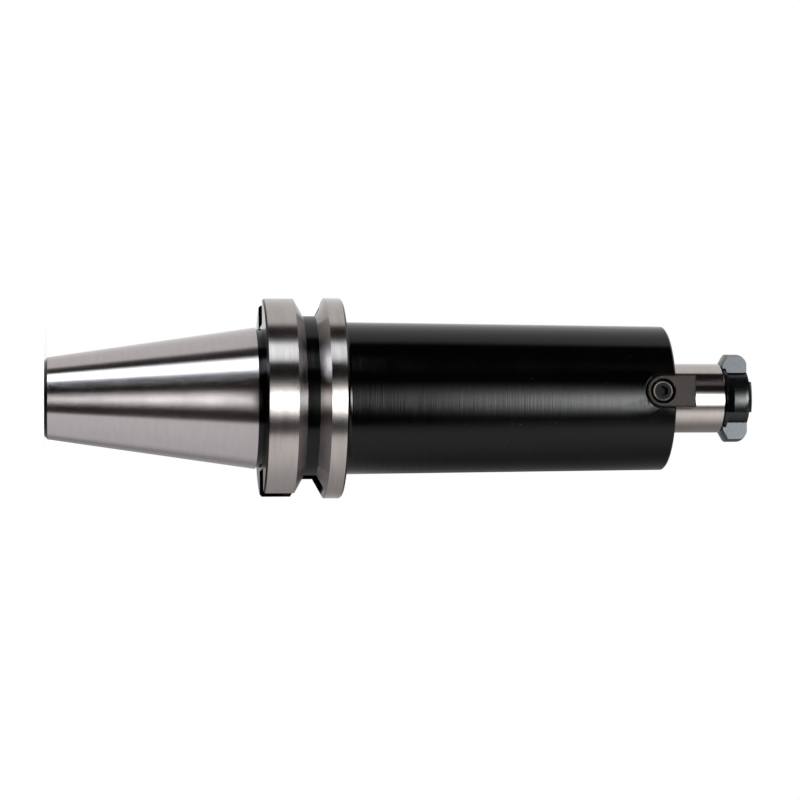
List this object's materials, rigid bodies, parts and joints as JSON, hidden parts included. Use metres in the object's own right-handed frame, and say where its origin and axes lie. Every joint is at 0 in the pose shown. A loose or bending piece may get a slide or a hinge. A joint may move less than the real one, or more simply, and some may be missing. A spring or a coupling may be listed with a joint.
{
  "type": "face mill arbor",
  "caption": "Steep-taper face mill arbor: grooved flange, long extension body, and a pilot with drive keys and a cross-head cutter retaining screw.",
  "frame": {"origin": "centre of the gauge plane, where the taper is 44.45 mm across", "axes": "+Z along the axis from the small end of the taper up to the nose, the drive keys on the -Y and +Y sides, the flange keyways on the +X and -X sides"},
  "size_m": [0.063, 0.063, 0.2222],
  "materials": {
    "arbor_steel": "ground steel on the taper, flange and pilot, black oxide on the body, groove and neck",
    "key_steel": "hardened, dark satin",
    "cap_screw_steel": "black oxide",
    "retaining_screw_steel": "black oxide with a bluish sheen"
  },
  "bodies": {
    "arbor": {"arbor_body": "arbor_steel", "drive_key_near": "key_steel", "drive_key_far": "key_steel", "key_screw_near": "cap_screw_steel", "key_screw_far": "cap_screw_steel"},
    "retaining_screw": {"retaining_screw": "retaining_screw_steel"}
  },
  "joints": [
    {"name": "retaining_screw_travel", "type": "slide", "parent": "arbor", "child": "retaining_screw", "axis": [0, 0, 1], "range_m": [0, 0.03]}
  ]
}
